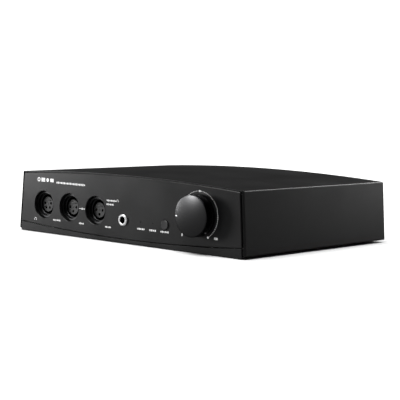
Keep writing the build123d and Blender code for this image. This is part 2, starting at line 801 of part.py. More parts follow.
with BuildPart() as rear_xlr_inserts:
    for x, z in rear_xlr_places:
        turned(rear_insert_profile, x, rear_face_y - rear_insert_recess, z)
        for pin_x, pin_z in pin_places(three_pins, x, z):
            rod(contact_hole, pin_x, pin_z, rear_face_y - 24, rear_face_y, Mode.SUBTRACT)
save(rear_xlr_inserts.part, "rear_xlr_inserts")

with BuildPart() as rear_xlr_contacts:
    for x, z in rear_xlr_places:
        for pin_x, pin_z in pin_places(three_pins, x, z):
            rod(contact_hole - 0.05, pin_x, pin_z, rear_face_y - 27, rear_face_y - 5)
            rod(0.9, pin_x, pin_z, rear_face_y - 18, rear_face_y - 4, Mode.SUBTRACT)
save(rear_xlr_contacts.part, "rear_xlr_contacts")

# Phono sockets: metal sleeves over moulded cores, on one block behind the rear plate
phono_out = rear_recess + rear_reach
sleeve_bore_radius = 3.4
core_bore = 1.7
core_radius = 3.35
phono_back = -8.0
with BuildPart() as phono_sleeves:
    for x, z in phono_places:
        turned(
            [
                (sleeve_bore_radius, phono_back),
                (phono_radius, phono_back),
                (phono_radius, 0.1),
                (5.6, 0.1),
                (5.6, 1.2),
                (phono_radius, 1.2),
                (phono_radius, phono_out - 0.4),
                (phono_radius - 0.4, phono_out),
                (sleeve_bore_radius, phono_out),
            ],
            x,
            rear_face_y,
            z,
        )
save(phono_sleeves.part, "phono_sleeves")

with BuildPart() as phono_cores:
    for x, z in phono_places:
        turned(
            [
                (core_bore, phono_back),
                (core_radius, phono_back),
                (core_radius, phono_out - 0.5),
                (core_bore, phono_out - 0.5),
            ],
            x,
            rear_face_y,
            z,
        )
save(phono_cores.part, "phono_cores")

phono_block_size = (40.0, 40.0)
phono_block_x = 19.0
with BuildPart() as phono_block:
    block(*phono_block_size, phono_block_x, inlet_z, rear_inner_y - 16, rear_inner_y - 0.1)
    for x, z in phono_places:
        rod(phono_radius + 0.1, x, z, rear_inner_y - 7, rear_inner_y + 1, Mode.SUBTRACT)
save(phono_block.part, "phono_block")

# Main board on its spacers
with BuildPart() as main_board:
    with BuildSketch(Plane.XY.offset(board_z)) as section:
        with Locations(((board_x[0] + board_x[1]) / 2, (board_y[0] + board_y[1]) / 2)):
            Rectangle(board_x[1] - board_x[0], board_y[1] - board_y[0])
        with Locations(*standoff_places):
            Circle(screw_hole, mode=Mode.SUBTRACT)
    extrude(section.sketch, amount=board_thickness)
save(main_board.part, "main_board")

with BuildPart() as board_standoffs:
    for x, y in standoff_places:
        with BuildSketch(Plane.XY.offset(floor_z)) as section:
            with Locations((x, y)):
                RegularPolygon(3.2, 6)
        extrude(section.sketch, amount=board_z - floor_z)
        post(screw_radius, x, y, plate_z + 0.1, floor_z)
        post(screw_hole, x, y, board_z - 6, board_z + 1, Mode.SUBTRACT)
save(board_standoffs.part, "board_standoffs")

with BuildPart() as board_screws:
    for x, y in standoff_places:
        post(screw_radius, x, y, board_z - 5, board_top)
        post(pan_head_radius, x, y, board_top, board_top + pan_head_height)
save(board_screws.part, "board_screws")

# Parts that stand on the main board
capacitor_radius = 9.0
capacitor_height = 32.0
with BuildPart() as smoothing_capacitors:
    for x in (0.0, 22.0):
        for y in (-14.0, 10.0, 34.0):
            post(capacitor_radius, x, y, board_top, board_top + capacitor_height)
    fillet(smoothing_capacitors.edges().group_by(Axis.Z)[-1], 1.0)
save(smoothing_capacitors.part, "smoothing_capacitors")

sink_web = (3.0, 60.0)
sink_fin = (16.0, 1.6)
sink_height = 30.0
fin_count = 9
fin_pitch = 7.0
with BuildPart() as heat_sinks:
    for x in (-100.0, -50.0):
        with BuildSketch(Plane.XY.offset(board_top)) as section:
            with Locations((x, 0)):
                Rectangle(*sink_web)
            for i in range(fin_count):
                with Locations((x + 8.0, (i - (fin_count - 1) / 2) * fin_pitch)):
                    Rectangle(*sink_fin)
        extrude(section.sketch, amount=sink_height)
save(heat_sinks.part, "heat_sinks")

relay_size = (20.0, 10.0)
relay_height = 11.0
with BuildPart() as relays:
    for x in (-110.0, -74.0, -38.0):
        with BuildSketch(Plane.XY.offset(board_top)) as section:
            with Locations((x, -52.0)):
                Rectangle(*relay_size)
        extrude(section.sketch, amount=relay_height)
save(relays.part, "relays")

# Toroidal transformer, clamped between pads by a plate and a bolt
coil_radius = 38.0
coil_bore = 11.0
coil_height = 32.0
pad_thickness = 1.5
clamp_thickness = 1.6
coil_z = floor_z + pad_thickness
with BuildPart() as transformer_coil:
    with BuildSketch(Plane.XZ.offset(-coil_y)) as section:
        with Locations((coil_x + (coil_radius + coil_bore) / 2, coil_z + coil_height / 2)):
            RectangleRounded(coil_radius - coil_bore, coil_height, 7.0)
    revolve(section.sketch, axis=Axis((coil_x, coil_y, 0), (0, 0, 1)))
save(transformer_coil.part, "transformer_coil")

with BuildPart() as transformer_pads:
    for z in (floor_z, coil_z + coil_height):
        post(30.0, coil_x, coil_y, z, z + pad_thickness)
        post(5.0, coil_x, coil_y, z - 1, z + pad_thickness + 1, Mode.SUBTRACT)
save(transformer_pads.part, "transformer_pads")

clamp_z = coil_z + coil_height + pad_thickness
with BuildPart() as transformer_plate:
    post(27.0, coil_x, coil_y, clamp_z, clamp_z + clamp_thickness)
    post(coil_bolt_radius + 0.1, coil_x, coil_y, clamp_z - 1, clamp_z + 3, Mode.SUBTRACT)
save(transformer_plate.part, "transformer_plate")

with BuildPart() as transformer_bolt:
    post(coil_bolt_radius, coil_x, coil_y, plate_z + 0.1, clamp_z + clamp_thickness)
    with BuildSketch(Plane.XY.offset(clamp_z + clamp_thickness)) as section:
        with Locations((coil_x, coil_y)):
            RegularPolygon(5.6, 6)
    extrude(section.sketch, amount=4.0)
save(transformer_bolt.part, "transformer_bolt")
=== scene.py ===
import json
import math

import bmesh
import bpy
from mathutils import Matrix, Vector


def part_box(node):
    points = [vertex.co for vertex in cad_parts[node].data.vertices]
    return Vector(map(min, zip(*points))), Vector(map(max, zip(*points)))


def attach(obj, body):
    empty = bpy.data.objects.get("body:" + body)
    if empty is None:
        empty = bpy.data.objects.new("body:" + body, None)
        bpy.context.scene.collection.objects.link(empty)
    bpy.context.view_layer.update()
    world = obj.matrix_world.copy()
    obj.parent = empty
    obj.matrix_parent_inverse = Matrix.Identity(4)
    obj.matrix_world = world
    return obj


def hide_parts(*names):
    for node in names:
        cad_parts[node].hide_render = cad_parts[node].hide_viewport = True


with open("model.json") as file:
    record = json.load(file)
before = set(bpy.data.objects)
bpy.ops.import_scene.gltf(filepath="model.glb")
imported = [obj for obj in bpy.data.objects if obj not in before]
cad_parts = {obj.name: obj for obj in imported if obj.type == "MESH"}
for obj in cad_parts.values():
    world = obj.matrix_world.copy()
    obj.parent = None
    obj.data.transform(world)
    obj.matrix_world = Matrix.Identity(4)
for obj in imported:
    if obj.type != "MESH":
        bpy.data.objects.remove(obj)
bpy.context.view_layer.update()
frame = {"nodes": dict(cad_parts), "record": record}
nodes = frame["nodes"]
scene = bpy.context.scene
mm = 0.001


def middle(node):
    low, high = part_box(node)
    return (low + high) / 2


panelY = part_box("front_panel")[0].y  # face of the front panel
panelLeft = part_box("front_panel")[0].x
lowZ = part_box("front_trim")[0].z  # heights on the panel are measured from here
knobMiddle = middle("volume_knob")
jackMiddle = middle("jack_sleeve")
print("frame loaded,", len(nodes), "nodes")


# meshes
mergeDistance = 1e-6


def meshObject(name, bm, sharpAngle=32.0):
    bmesh.ops.remove_doubles(bm, verts=bm.verts, dist=mergeDistance)
    bmesh.ops.recalc_face_normals(bm, faces=bm.faces)
    mesh = bpy.data.meshes.new(name)
    bm.to_mesh(mesh)
    bm.free()
    mesh.polygons.foreach_set("use_smooth", [True] * len(mesh.polygons))
    mesh.set_sharp_from_angle(angle=math.radians(sharpAngle))
    obj = bpy.data.objects.new(name, mesh)
    scene.collection.objects.link(obj)
    return obj


def finishPiece(obj, body, material, replaced=()):
    obj.data.materials.clear()
    obj.data.materials.append(material)
    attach(obj, body)
    if replaced:
        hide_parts(*replaced)
    return obj


def printPiece(name, bm):  # white print on the front or rear of the chassis
    finishPiece(meshObject(name, bm), "chassis", materials["marker_white"])


# (radius, depth) points in millimetres, turned about a front-to-back line
def spinProfile(bm, profile, centre, steps):
    points = [bm.verts.new((centre.x + r * mm, centre.y + y * mm, centre.z)) for r, y in profile]
    edges = [bm.edges.new(pair) for pair in zip(points, points[1:])]
    bmesh.ops.spin(
        bm, geom=points + edges, cent=centre, axis=(0, 1, 0), angle=2 * math.pi, steps=steps, use_merge=True
    )


def addBar(bm, x, z, width, height, thickness, turn=0.0):  # thin print, all lengths in metres
    place = Matrix.Translation((x, panelY - thickness / 2, z))
    place = place @ Matrix.Rotation(math.radians(turn), 4, "Y")
    size = Matrix.Diagonal((width, thickness, height, 1))
    bmesh.ops.create_cube(bm, size=1.0, matrix=place @ size)


def addDisc(bm, x, z, radius, thickness, segments=20):
    place = Matrix.Translation((x, panelY - thickness / 2, z))
    place = place @ Matrix.Rotation(math.radians(90), 4, "X")
    bmesh.ops.create_cone(
        bm, cap_ends=True, segments=segments, radius1=radius, radius2=radius, depth=thickness, matrix=place
    )


# flat band round a centre, its angles in degrees
def addArc(bm, x, z, radius, width, thickness, start, sweep, steps):
    centre = Vector((x, panelY - thickness / 2, z))
    turn = Matrix.Rotation(math.radians(start), 4, "Y")
    place = Matrix.Translation(centre) @ turn @ Matrix.Translation((0, 0, radius))
    shape = Matrix.Diagonal((1, thickness, width, 1)) @ Matrix.Rotation(math.radians(90), 4, "Y")
    section = bmesh.ops.create_grid(bm, x_segments=1, y_segments=1, size=0.5, matrix=place @ shape)
    corners = section["verts"]
    faces = list({f for v in corners for f in v.link_faces})
    edges = list({e for v in corners for e in v.link_edges})
    bmesh.ops.spin(
        bm, geom=corners + edges + faces, cent=centre, axis=(0, 1, 0), angle=math.radians(sweep),
        steps=steps, use_merge=abs(sweep) >= 360,
    )


# materials
def newFinish(name):
    mat = bpy.data.materials.new(name)
    mat.use_nodes = True
    tree = mat.node_tree
    coords = tree.nodes.new("ShaderNodeTexCoord").outputs["Object"]
    return mat, tree, tree.nodes["Principled BSDF"], coords


def noiseNode(tree, coords, grain, detail=2.0, lumpiness=0.5):  # grain in millimetres
    noise = tree.nodes.new("ShaderNodeTexNoise")
    noise.inputs["Scale"].default_value = 1 / (grain * mm)
    noise.inputs["Detail"].default_value = detail
    noise.inputs["Roughness"].default_value = lumpiness
    tree.links.new(coords, noise.inputs["Vector"])
    return noise.outputs["Fac"]


def spread(tree, value, low, high, start=0.3, end=0.7):  # remaps a pattern to a range
    node = tree.nodes.new("ShaderNodeMapRange")
    node.inputs["From Min"].default_value = start
    node.inputs["From Max"].default_value = end
    node.inputs["To Min"].default_value = low
    node.inputs["To Max"].default_value = high
    tree.links.new(value, node.inputs["Value"])
    return node.outputs["Result"]


def mixedColour(tree, factor, first, second):
    node = tree.nodes.new("ShaderNodeMix")
    node.data_type = "RGBA"
    tree.links.new(factor, node.inputs[0])
    node.inputs[6].default_value = (*first, 1)
    node.inputs[7].default_value = (*second, 1)
    return node.outputs[2]


def coverColour(tree, factor, under, colour):  # plain colour laid over another node's colour
    node = tree.nodes.new("ShaderNodeMix")
    node.data_type = "RGBA"
    node.inputs[7].default_value = (*colour, 1)
    tree.links.new(factor, node.inputs[0])
    tree.links.new(under, node.inputs[6])
    return node.outputs[2]


def aroundLine(tree, coords, centre):  # distance from a front-to-back line, and depth behind its centre
    offset = tree.nodes.new("ShaderNodeMapping")
    offset.inputs["Location"].default_value = -centre
    tree.links.new(coords, offset.inputs["Vector"])
    flat = tree.nodes.new("ShaderNodeVectorMath")
    flat.operation = "MULTIPLY"
    flat.inputs[1].default_value = (1, 0, 1)
    tree.links.new(offset.outputs["Vector"], flat.inputs[0])
    radius = tree.nodes.new("ShaderNodeVectorMath")
    radius.operation = "LENGTH"
    tree.links.new(flat.outputs[0], radius.inputs[0])
    depth = tree.nodes.new("ShaderNodeSeparateXYZ")
    tree.links.new(offset.outputs["Vector"], depth.inputs[0])
    return radius.outputs["Value"], depth.outputs["Y"]


def shades(settings):  # darker and lighter ends of a finish's colour
    shift = settings["shift"]
    return [[c * (1 + change) for c in settings["colour"]] for change in (-shift, shift)]


def addBump(tree, shader, height, strength, distance):
    bump = tree.nodes.new("ShaderNodeBump")
    bump.inputs["Strength"].default_value = strength
    bump.inputs["Distance"].default_value = distance * mm
    tree.links.new(height, bump.inputs["Height"])
    tree.links.new(bump.outputs["Normal"], shader.inputs["Normal"])


coatSpread = 0.04  # how far the roughness wanders either way
turnedSpread = 0.015


def coatedFinish(name, settings):  # blasted, anodised, painted and moulded surfaces
    mat, tree, shader, coords = newFinish(name)
    fine = noiseNode(tree, coords, settings["grain"], 3.0)
    broad = noiseNode(tree, coords, settings["patch"], 4.0)
    tree.links.new(mixedColour(tree, broad, *shades(settings)), shader.inputs["Base Color"])
    rough = settings["roughness"]
    roughness = spread(tree, broad, rough - coatSpread, rough + coatSpread)
    tree.links.new(roughness, shader.inputs["Roughness"])
    shader.inputs["Metallic"].default_value = settings["metallic"]
    shader.inputs["Specular IOR Level"].default_value = settings["specular"]
    addBump(tree, shader, fine, settings["bump"], settings["grain"])
    return mat


# grain and patch are the sizes of the fine and broad patterns, in millimetres
def finish(colour, rough, grain, patch, shift, bump, metallic=0.0, specular=0.5):
    return {
        "colour": colour, "roughness": rough, "grain": grain, "patch": patch, "shift": shift,
        "bump": bump, "metallic": metallic, "specular": specular,
    }


finishes = {
    "black_case": finish((0.0036, 0.0036, 0.0038), 0.36, 0.25, 60, 0.12, 0.1, specular=0.42),
    "black_panel": finish((0.0045, 0.0045, 0.0048), 0.32, 0.22, 50, 0.1, 0.1, specular=0.34),
    "black_steel": finish((0.014, 0.014, 0.015), 0.55, 0.5, 40, 0.15, 0.25),
    "rubber_foot": finish((0.012, 0.012, 0.012), 0.8, 0.4, 8, 0.2, 0.3),
    "dark_plastic": finish((0.015, 0.015, 0.016), 0.5, 0.3, 15, 0.1, 0.2),
    "insert_plastic": finish((0.008, 0.008, 0.009), 0.5, 0.25, 6, 0.12, 0.2),
    "inlet_plastic": finish((0.013, 0.013, 0.013), 0.45, 0.3, 12, 0.1, 0.15),
    "rocker_plastic": finish((0.008, 0.008, 0.008), 0.5, 0.4, 12, 0.1, 0.05),
    "pad_rubber": finish((0.02, 0.02, 0.02), 0.8, 0.6, 12, 0.2, 0.3),
    "capacitor_sleeve": finish((0.012, 0.014, 0.05), 0.3, 0.6, 14, 0.15, 0.05),
    "ribbon_grey": finish((0.36, 0.37, 0.39), 0.5, 0.5, 6, 0.1, 0.1),
    "relay_case": finish((0.7, 0.66, 0.5), 0.3, 0.5, 10, 0.05, 0.05),
    "phono_core": finish((0.62, 0.62, 0.6), 0.4, 0.3, 5, 0.05, 0.08),
    "marker_white": finish((0.9, 0.9, 0.9), 0.45, 0.15, 3, 0.04, 0.05),
    "led_body": finish((0.75, 0.74, 0.68), 0.25, 0.3, 3, 0.03, 0.03),
    "clear_pipe": finish((0.02, 0.02, 0.02), 0.12, 0.3, 3, 0.1, 0.03),
    "socket_metal": finish((0.07, 0.07, 0.072), 0.4, 0.25, 8, 0.15, 0.08, 1.0),
    "button_metal": finish((0.012, 0.012, 0.013), 0.36, 0.2, 5, 0.1, 0.1),
    "sink_aluminium": finish((0.03, 0.03, 0.032), 0.5, 0.3, 20, 0.15, 0.15, 0.3),
    "black_screw": finish((0.03, 0.03, 0.032), 0.4, 0.15, 3, 0.2, 0.15, 0.6),
    "zinc_steel": finish((0.5, 0.5, 0.48), 0.38, 0.4, 12, 0.12, 0.1, 1.0),
    "steel_screw": finish((0.52, 0.52, 0.54), 0.32, 0.2, 3, 0.1, 0.08, 1.0),
    "shaft_metal": finish((0.7, 0.7, 0.72), 0.3, 0.15, 4, 0.06, 0.08, 1.0),
    "contact_gold": finish((0.72, 0.52, 0.2), 0.28, 0.2, 3, 0.08, 0.05, 1.0),
    "phono_gold": finish((0.74, 0.54, 0.22), 0.24, 0.2, 4, 0.06, 0.05, 1.0),
    "pin_nickel": finish((0.62, 0.61, 0.58), 0.28, 0.2, 4, 0.06, 0.05, 1.0),
}
materials = {slot: coatedFinish(slot, settings) for slot, settings in finishes.items()}
boardLook = {"scale": 260, "track": (0.06, 0.1), "mask": (0.01, 0.055, 0.022), "copper": (0.02, 0.10, 0.04)}
coilLook = {"turns": 120, "dark": (0.5, 0.36, 0.08), "light": (0.75, 0.6, 0.2)}
fuseLook = {"speck": 1.0, "dark": (0.85, 0.88, 0.88), "light": (0.9, 0.92, 0.92)}
jackLook = {
    "plating": finish((0.88, 0.88, 0.89), 0.3, 0.2, 4, 0.03, 0.02, 0.62),
    # bore and lip (mm) bound where the bore is painted dark; the last colour here is that painted shade
    "bore": (3.5, 3.8), "lip": (0.3, 0.8), "shadow": (0.01, 0.01, 0.01),
}
knobFinish = {
    # the side colour is painted shade, laid over the face colour from faceEnd back
    "colour": (0.05, 0.05, 0.051), "paintedSideShade": (0.010, 0.010, 0.011), "faceEnd": 1.1, "faceFade": 0.3,
    "roughness": 0.25, "metallic": 1.0, "ring": 0.3, "shift": 0.06, "bump": 0.015,
}


def boardFinish(name):  # solder mask over copper tracks
    mat, tree, shader, coords = newFinish(name)
    tracks = tree.nodes.new("ShaderNodeTexVoronoi")
    tracks.distance = "MANHATTAN"
    tracks.feature = "DISTANCE_TO_EDGE"
    tracks.inputs["Scale"].default_value = boardLook["scale"]
    tree.links.new(coords, tracks.inputs["Vector"])
    lines = spread(tree, tracks.outputs["Distance"], 0, 1, *boardLook["track"])
    colour = mixedColour(tree, lines, boardLook["copper"], boardLook["mask"])
    tree.links.new(colour, shader.inputs["Base Color"])
    shader.inputs["Roughness"].default_value = 0.3
    addBump(tree, shader, lines, 0.2, 0.05)
    return mat


def coilFinish(name):  # varnished tape wound round the ring
    mat, tree, shader, coords = newFinish(name)
    mapping = tree.nodes.new("ShaderNodeMapping")
    mapping.inputs["Location"].default_value = -middle("transformer_coil")
    tree.links.new(coords, mapping.inputs["Vector"])
    angle = tree.nodes.new("ShaderNodeTexGradient")
    angle.gradient_type = "RADIAL"
    tree.links.new(mapping.outputs["Vector"], angle.inputs["Vector"])
    turns = tree.nodes.new("ShaderNodeMath")
    turns.operation = "PINGPONG"
    turns.inputs[1].default_value = 1 / coilLook["turns"]
    tree.links.new(angle.outputs["Fac"], turns.inputs[0])
    stripes = spread(tree, turns.outputs[0], 0, 1, 0, 1 / coilLook["turns"])
    colour = mixedColour(tree, stripes, coilLook["dark"], coilLook["light"])
    tree.links.new(colour, shader.inputs["Base Color"])
    shader.inputs["Roughness"].default_value = 0.3
    addBump(tree, shader, stripes, 0.3, 0.3)
    return mat


def fuseFinish(name):  # clear glass tube
    mat, tree, shader, coords = newFinish(name)
    specks = noiseNode(tree, coords, fuseLook["speck"])
    colour = mixedColour(tree, specks, fuseLook["dark"], fuseLook["light"])
    tree.links.new(colour, shader.inputs["Base Color"])
    shader.inputs["Transmission Weight"].default_value = 0.9
    shader.inputs["Roughness"].default_value = 0.08
    return mat


def jackPaintedShadeFinish(name, centre):  # bright plated ring; its bore is painted dark behind the lip as painted shade
    mat = coatedFinish(name, jackLook["plating"])
    tree = mat.node_tree
    shader = tree.nodes["Principled BSDF"]
    coords = tree.nodes["Texture Coordinate"].outputs["Object"]
    plating = shader.inputs["Base Color"].links[0].from_socket
    radius, depth = aroundLine(tree, coords, centre)
    within = spread(tree, radius, 1, 0, *[r * mm for r in jackLook["bore"]])
    behind = spread(tree, depth, 0, 1, *[d * mm for d in jackLook["lip"]])
    # painted shade: inside the bore and behind the lip the plating colour gives way to near black
    bore = tree.nodes.new("ShaderNodeMath")
    bore.operation = "MULTIPLY"
    tree.links.new(within, bore.inputs[0])
    tree.links.new(behind, bore.inputs[1])
    colour = coverColour(tree, bore.outputs[0], plating, jackLook["shadow"])
    tree.links.new(colour, shader.inputs["Base Color"])
    return mat


def turnedFinish(name, settings, centre):  # fine lathe rings on the face; the side and rounded edge are painted a darker colour as painted shade
    mat, tree, shader, coords = newFinish(name)
    radius, depth = aroundLine(tree, coords, centre)
    noise = tree.nodes.new("ShaderNodeTexNoise")
    noise.noise_dimensions = "1D"
    noise.inputs["Scale"].default_value = 1 / (settings["ring"] * mm)
    noise.inputs["Detail"].default_value = 3
    tree.links.new(radius, noise.inputs["W"])
    rings = noise.outputs["Fac"]
    end = settings["faceEnd"]
    behind = spread(tree, depth, 0, 1, end * mm, (end + settings["faceFade"]) * mm)
    face = mixedColour(tree, rings, *shades(settings))
    # painted shade: behind the face the colour gives way to the darker side colour
    colour = coverColour(tree, behind, face, settings["paintedSideShade"])
    tree.links.new(colour, shader.inputs["Base Color"])
    rough = settings["roughness"]
    roughness = spread(tree, rings, rough - turnedSpread, rough + turnedSpread)
    tree.links.new(roughness, shader.inputs["Roughness"])
    shader.inputs["Metallic"].default_value = settings["metallic"]
    addBump(tree, shader, rings, settings["bump"], settings["ring"])
    return mat


jackFront = Vector((jackMiddle.x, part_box("jack_sleeve")[0].y, jackMiddle.z))
knobFront = Vector((knobMiddle.x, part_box("volume_knob")[0].y, knobMiddle.z))
materials["jack_chrome"] = jackPaintedShadeFinish("jack_chrome", jackFront)
materials["board_green"] = boardFinish("board_green")
materials["coil_wrap"] = coilFinish("coil_wrap")
materials["fuse_glass"] = fuseFinish("fuse_glass")
materials["knob_metal"] = turnedFinish("knob_metal", knobFinish, knobFront)
for part in frame["record"]["subparts"]:
    obj = nodes[part["node"]]
    obj.data.materials.clear()
    obj.data.materials.append(materials[part["material_slot"]])
print("materials made,", len(materials))

# volume knob
knobForm = {
    "radius": 18.6, "dish": 0.02, "fall": 1.2, "edge": 0.7, "skirt": 0.4, "wall": 3.4, "bore": 3.02,
    "floor": 3.0, "boss": 6.0, "bossBack": 3.4, "steps": 160, "domeSteps": 12, "edgeSteps": 5,
}
markerForm = {"sink": 0.1, "thickness": 0.4, "bevel": 0.06}


def makeKnob():
    length = (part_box("volume_knob")[1].y - knobFront.y) / mm
    r, edge, skirt = knobForm["radius"], knobForm["edge"], knobForm["skirt"]
    inner, bore, back = r - knobForm["wall"], knobForm["bore"], length - knobForm["bossBack"]
    ground, boss = knobForm["floor"], knobForm["boss"]
    flat = r - edge
    profile = []
    for i in range(knobForm["domeSteps"] + 1):
        part = i / knobForm["domeSteps"]
        profile.append((flat * part, knobForm["dish"] + knobForm["fall"] * part ** 2))
    deep = profile[-1][1]
    for i in range(1, knobForm["edgeSteps"] + 1):  # rounded edge
        turn = math.radians(90 * i / knobForm["edgeSteps"])
        profile.append((flat + edge * math.sin(turn), deep + edge * (1 - math.cos(turn))))
    profile += [
        (r, length * 0.5), (r, length - skirt), (r - skirt, length), (inner, length), (inner, ground),
        (boss, ground), (boss, back), (bore, back), (bore, ground), (0, ground),
    ]
    bm = bmesh.new()
    spinProfile(bm, profile, knobFront, knobForm["steps"])
    obj = meshObject("knobTurned", bm, 28)
    return finishPiece(obj, "knob", materials["knob_metal"], ["volume_knob"])


def makeKnobMarker():  # filled slot near the edge, its face following the dome
    bm = bmesh.new()
    low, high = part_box("knob_marker")
    size = high - low
    centre = (low + high) / 2
    flat = (knobForm["radius"] - knobForm["edge"]) * mm
    out = (centre - knobFront).xz.length
    deep = (knobForm["dish"] + knobForm["fall"] * (out / flat) ** 2) * mm
    place = Matrix.Translation((centre.x, knobFront.y + deep + markerForm["sink"] * mm, centre.z))
    shape = Matrix.Diagonal((size.x, markerForm["thickness"] * mm, size.z, 1))
    bmesh.ops.create_cone(
        bm, cap_ends=True, segments=24, radius1=0.5, radius2=0.5, depth=1.0,
        matrix=place @ shape @ Matrix.Rotation(math.radians(90), 4, "X"),
    )
    rim = [e for e in bm.edges if len(e.link_faces) == 2 and e.calc_face_angle(0) > 1]
    bmesh.ops.bevel(
        bm, geom=rim, offset=markerForm["bevel"] * mm, offset_type="OFFSET", segments=2, profile=0.5,
        affect="EDGES", material=-1,
    )
    obj = meshObject("knobPointer", bm)
    return finishPiece(obj, "knob", materials["marker_white"], ["knob_marker"])


makeKnob()
makeKnobMarker()
print("knob turned")

# dial scale round the knob
dialMarks = {
    "radius": 21.3, "step": 5.0, "reach": 150.0, "dot": 0.36, "bigDot": 0.95, "print": 0.06,
    "numberSize": 3.0, "numberSwell": 0.06, "numberX": 19.5, "numberZ": -18.75,
}


def makeDialScale():
    bm = bmesh.new()
    count = int(2 * dialMarks["reach"] / dialMarks["step"])
    for i in range(count + 1):
        turn = math.radians(-dialMarks["reach"] + i * dialMarks["step"])
        size = dialMarks["bigDot"] if i in (0, count // 2, count) else dialMarks["dot"]
        x = knobMiddle.x + dialMarks["radius"] * mm * math.sin(turn)
        z = knobMiddle.z + dialMarks["radius"] * mm * math.cos(turn)
        addDisc(bm, x, z, size * mm, dialMarks["print"] * mm, segments=14)
    printPiece("dialScale", bm)


def makeNumber(text, x, z):
    curve = bpy.data.curves.new("number" + text, "FONT")
    curve.body = text
    curve.size = dialMarks["numberSize"] * mm
    curve.align_x = "CENTER"
    curve.align_y = "CENTER"
    curve.extrude = dialMarks["print"] * mm / 2
    curve.offset = dialMarks["numberSwell"] * mm
    source = bpy.data.objects.new("numberSource", curve)
    scene.collection.objects.link(source)
    bpy.context.view_layer.update()
    mesh = bpy.data.meshes.new_from_object(source)
    bpy.data.objects.remove(source)
    mesh.name = "dialNumber" + text
    place = Matrix.Translation((x, panelY - dialMarks["print"] * mm / 2, z))
    mesh.transform(place @ Matrix.Rotation(math.radians(90), 4, "X"))
    obj = bpy.data.objects.new("dialNumber" + text, mesh)
    scene.collection.objects.link(obj)
    return finishPiece(obj, "chassis", materials["marker_white"])


makeDialScale()
numberZ = knobMiddle.z + dialMarks["numberZ"] * mm
makeNumber("0", knobMiddle.x - dialMarks["numberX"] * mm, numberZ)
makeNumber("100", knobMiddle.x + dialMarks["numberX"] * mm, numberZ)
print("dial printed")

# printed marks on the panel: plain shapes stand in for wording
printForm = {"thickness": 0.06, "gap": 0.35}
shapeForm = {  # shares of a shape's height or cell
    "stroke": 0.22, "midBar": 0.28, "sideBar": 0.22, "barSpacing": 0.32, "barWidth": 0.9, "disc": 0.42,
    "block": 0.8,
}
pairForm = {"shift": 0.0002, "dash": (0.0076, 0.0005), "diamond": 0.0017}
headsetForm = {"band": 0.26, "padDrop": 0.35, "padWidth": 0.5, "padHeight": 0.9}
socketX = [middle(n).x for n in ("xlr4_shell", "left_xlr_shell", "right_xlr_shell")]
socketZ = middle("left_xlr_shell").z
lampX = [middle(n).x for n in ("input_light_pipe", "gain_light_pipe")]
buttonX = middle("select_button").x
labels = {  # middle x, middle z, width, height, number of shapes, in metres
    "title": (panelLeft + 0.0344, lowZ + 0.0512, 0.0245, 0.0042, 4),
    "titleLine": (panelLeft + 0.0700, lowZ + 0.0497, 0.0398, 0.0022, 19),
    "singleOutput": (socketX[0] + 0.0188, lowZ + 0.0134, 0.0102, 0.0019, 6),
    "leftOutput": (socketX[1] + 0.0174, lowZ + 0.0132, 0.0062, 0.0019, 4),
    "rightOutput": (socketX[2] + 0.0174, lowZ + 0.0130, 0.0076, 0.0019, 5),
    "upperLine": (jackMiddle.x - 0.0158, lowZ + 0.0378, 0.0122, 0.0019, 7),
    "lowerLine": (jackMiddle.x - 0.0176, lowZ + 0.0342, 0.0092, 0.0019, 6),
    "inputLamp": (lampX[0] + 0.0002, lowZ + 0.0150, 0.0092, 0.0019, 5),
    "gainLamp": (lampX[1], lowZ + 0.0150, 0.0082, 0.0019, 4),
    "selectButton": (buttonX - 0.0002, lowZ + 0.0150, 0.0100, 0.0019, 6),
}


def addShapes(bm, x, z, width, height, count):  # ring, bar, disc, block, over and over
    thick = printForm["thickness"] * mm
    gap = printForm["gap"] * mm
    cell = (width - gap * (count - 1)) / count
    for i in range(count):
        cx = x - width / 2 + cell / 2 + i * (cell + gap)
        kind = i % 4
        if kind == 0:
            stroke = height * shapeForm["stroke"]
            addArc(bm, cx, z, (min(cell, height) - stroke) / 2, stroke, thick, 0, 360, steps=12)
        elif kind == 1:
            wide, away = cell * shapeForm["barWidth"], height * shapeForm["barSpacing"]
            addBar(bm, cx, z, wide, height * shapeForm["midBar"], thick)
            for side in (-away, away):
                addBar(bm, cx, z + side, wide, height * shapeForm["sideBar"], thick)
        elif kind == 2:
            addDisc(bm, cx, z, min(cell, height) * shapeForm["disc"], thick, segments=12)
        else:
            addBar(bm, cx, z, cell * shapeForm["block"], height * shapeForm["block"], thick)


def makePanelPrint():
    for name, (x, z, width, height, count) in labels.items():
        bm = bmesh.new()
        addShapes(bm, x, z, width, height, count)
        printPiece("print_" + name, bm)


def makePairMark():  # dash, diamond, dash between the paired sockets
    bm = bmesh.new()
    thick = printForm["thickness"] * mm
    x = (socketX[1] + socketX[2]) / 2 + pairForm["shift"]
    addBar(bm, x, socketZ, *pairForm["dash"], thick)
    addBar(bm, x, socketZ, pairForm["diamond"], pairForm["diamond"], thick, turn=45)
    printPiece("print_pairMark", bm)


def addHeadset(bm, x, z, size):  # band and two pads
    thick = printForm["thickness"] * mm
    addArc(bm, x, z, size, size * headsetForm["band"], thick, -90, 180, steps=16)
    wide, tall = size * headsetForm["padWidth"], size * headsetForm["padHeight"]
    for side in (-1, 1):
        addBar(bm, x + side * size, z - size * headsetForm["padDrop"], wide, tall, thick)


def makeHeadsets():
    bm = bmesh.new()
    addHeadset(bm, jackMiddle.x - 0.0078, lowZ + 0.0381, 0.0011)
    addHeadset(bm, socketX[0] - 0.0116, lowZ + 0.0122, 0.0013)
    printPiece("print_headsets", bm)


makePanelPrint()
makePairMark()
makeHeadsets()
print("panel printed")

# moulded ridge across the top of each front insert, and a small pip in its middle
keyForm = {"width": 7.4, "height": 0.8, "proud": 0.5, "up": 3.9, "bevel": 0.15, "pip": 0.8, "taper": 0.8}


